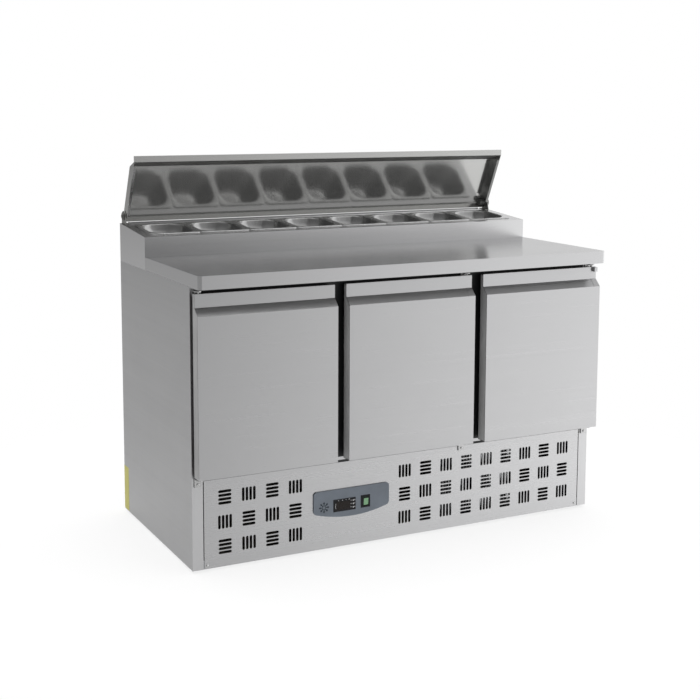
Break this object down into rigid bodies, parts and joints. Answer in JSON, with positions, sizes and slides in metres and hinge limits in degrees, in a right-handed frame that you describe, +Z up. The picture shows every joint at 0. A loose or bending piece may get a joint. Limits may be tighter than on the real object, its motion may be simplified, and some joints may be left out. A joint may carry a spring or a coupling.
{
  "type": "refrigerated preparation counter",
  "caption": "Refrigerated counter with a steel worktop, hinged doors below, a vented plinth with controls, and a raised well of lift-out food pans under a hinged lid.",
  "frame": {"origin": "on the floor under the middle of the outline seen from above", "axes": "+Z up, +X along the front towards the right end as seen by the user, -Y towards the user"},
  "size_m": [1.365, 0.708, 1.1541],
  "materials": {
    "brushed_steel": "brushed",
    "bright_steel": "polished",
    "liner_steel": "satin",
    "galvanised_steel": "satin",
    "aluminium_fins": "satin",
    "copper_pipe": "satin",
    "black_paint": "satin",
    "black_plastic": "matte",
    "slate_plastic": "matte",
    "key_plastic": "matte",
    "green_lens": "gloss",
    "gasket_rubber": "matte",
    "foam": "matte",
    "core_board": "matte"
  },
  "bodies": {
    "cabinet": {"back_panel": "galvanised_steel", "base_tray": "galvanised_steel", "cabinet_liner": "liner_steel", "cable_gland": "black_plastic", "compressor": "black_paint", "condenser": "aluminium_fins", "control_plate": "slate_plastic", "controller": "black_plastic", "door_1_hinge_bottom": "brushed_steel", "door_1_hinge_top": "brushed_steel", "door_2_hinge_bottom": "brushed_steel", "door_2_hinge_top": "brushed_steel", "door_3_hinge_bottom": "brushed_steel", "door_3_hinge_top": "brushed_steel", "evaporator": "aluminium_fins", "fan_shroud": "galvanised_steel", "foot_1": "black_plastic", "foot_2": "black_plastic", "foot_3": "black_plastic", "foot_4": "black_plastic", "front_frame": "black_plastic", "insulation_foam": "foam", "lid_hinge_left": "brushed_steel", "lid_hinge_right": "brushed_steel", "pan_rack": "brushed_steel", "shelf_1": "bright_steel", "shelf_2": "bright_steel", "shelf_3": "bright_steel", "side_panel_left": "brushed_steel", "side_panel_right": "brushed_steel", "sill_strip": "brushed_steel", "suction_pipe": "copper_pipe", "switch_housing": "black_plastic", "vent_panel": "brushed_steel", "well_housing": "brushed_steel", "worktop": "brushed_steel", "worktop_core": "core_board"},
    "lid": {"lid": "brushed_steel"},
    "fan": {"condenser_fan": "black_plastic"},
    "rocker": {"rocker_switch": "green_lens"},
    "door_1": {"door_1_skin": "brushed_steel", "door_1_inner": "liner_steel", "door_1_gasket": "gasket_rubber"},
    "key_1": {"key_1": "key_plastic"},
    "door_2": {"door_2_skin": "brushed_steel", "door_2_inner": "liner_steel", "door_2_gasket": "gasket_rubber"},
    "key_2": {"key_2": "key_plastic"},
    "door_3": {"door_3_skin": "brushed_steel", "door_3_inner": "liner_steel", "door_3_gasket": "gasket_rubber"},
    "key_3": {"key_3": "key_plastic"},
    "pan_1": {"pan_1": "bright_steel"},
    "pan_2": {"pan_2": "bright_steel"},
    "pan_3": {"pan_3": "bright_steel"},
    "pan_4": {"pan_4": "bright_steel"},
    "pan_5": {"pan_5": "bright_steel"},
    "pan_6": {"pan_6": "bright_steel"},
    "pan_7": {"pan_7": "bright_steel"},
    "pan_8": {"pan_8": "bright_steel"}
  },
  "joints": [
    {"name": "lid_hinge", "type": "hinge", "parent": "cabinet", "child": "lid", "pos_m": [0, 0.336, 0.961], "axis": [-1, 0, 0], "range_deg": [-69.26, 23]},
    {"name": "door_1_hinge", "type": "hinge", "parent": "cabinet", "child": "door_1", "pos_m": [-0.666, -0.304, 0.5418], "axis": [0, 0, -1], "range_deg": [0, 100]},
    {"name": "door_2_hinge", "type": "hinge", "parent": "cabinet", "child": "door_2", "pos_m": [0.198, -0.304, 0.5418], "axis": [0, 0, 1], "range_deg": [0, 100]},
    {"name": "door_3_hinge", "type": "hinge", "parent": "cabinet", "child": "door_3", "pos_m": [0.6658, -0.304, 0.5418], "axis": [0, 0, 1], "range_deg": [0, 100]},
    {"name": "pan_1_lift", "type": "slide", "parent": "cabinet", "child": "pan_1", "axis": [0, -0.083, 0.9965], "range_m": [0, 0.105]},
    {"name": "pan_2_lift", "type": "slide", "parent": "cabinet", "child": "pan_2", "axis": [0, -0.083, 0.9965], "range_m": [0, 0.105]},
    {"name": "pan_3_lift", "type": "slide", "parent": "cabinet", "child": "pan_3", "axis": [0, -0.083, 0.9965], "range_m": [0, 0.105]},
    {"name": "pan_4_lift", "type": "slide", "parent": "cabinet", "child": "pan_4", "axis": [0, -0.083, 0.9965], "range_m": [0, 0.105]},
    {"name": "pan_5_lift", "type": "slide", "parent": "cabinet", "child": "pan_5", "axis": [0, -0.083, 0.9965], "range_m": [0, 0.105]},
    {"name": "pan_6_lift", "type": "slide", "parent": "cabinet", "child": "pan_6", "axis": [0, -0.083, 0.9965], "range_m": [0, 0.105]},
    {"name": "pan_7_lift", "type": "slide", "parent": "cabinet", "child": "pan_7", "axis": [0, -0.083, 0.9965], "range_m": [0, 0.105]},
    {"name": "pan_8_lift", "type": "slide", "parent": "cabinet", "child": "pan_8", "axis": [0, -0.083, 0.9965], "range_m": [0, 0.105]},
    {"name": "fan_spin", "type": "hinge", "parent": "cabinet", "child": "fan", "pos_m": [0.26, -0.161, 0.1275], "axis": [0, 1, 0], "continuous": true},
    {"name": "rocker_tip", "type": "hinge", "parent": "cabinet", "child": "rocker", "pos_m": [-0.1364, -0.279, 0.13685], "axis": [1, 0, 0], "range_deg": [0, 12]},
    {"name": "key_1_press", "type": "slide", "parent": "cabinet", "child": "key_1", "axis": [0, 1, 0], "range_m": [0, 0.0005], "stiffness_N_per_m": 600, "springref_m": -0.0005},
    {"name": "key_2_press", "type": "slide", "parent": "cabinet", "child": "key_2", "axis": [0, 1, 0], "range_m": [0, 0.0005], "stiffness_N_per_m": 600, "springref_m": -0.0005},
    {"name": "key_3_press", "type": "slide", "parent": "cabinet", "child": "key_3", "axis": [0, 1, 0], "range_m": [0, 0.0005], "stiffness_N_per_m": 600, "springref_m": -0.0005}
  ]
}
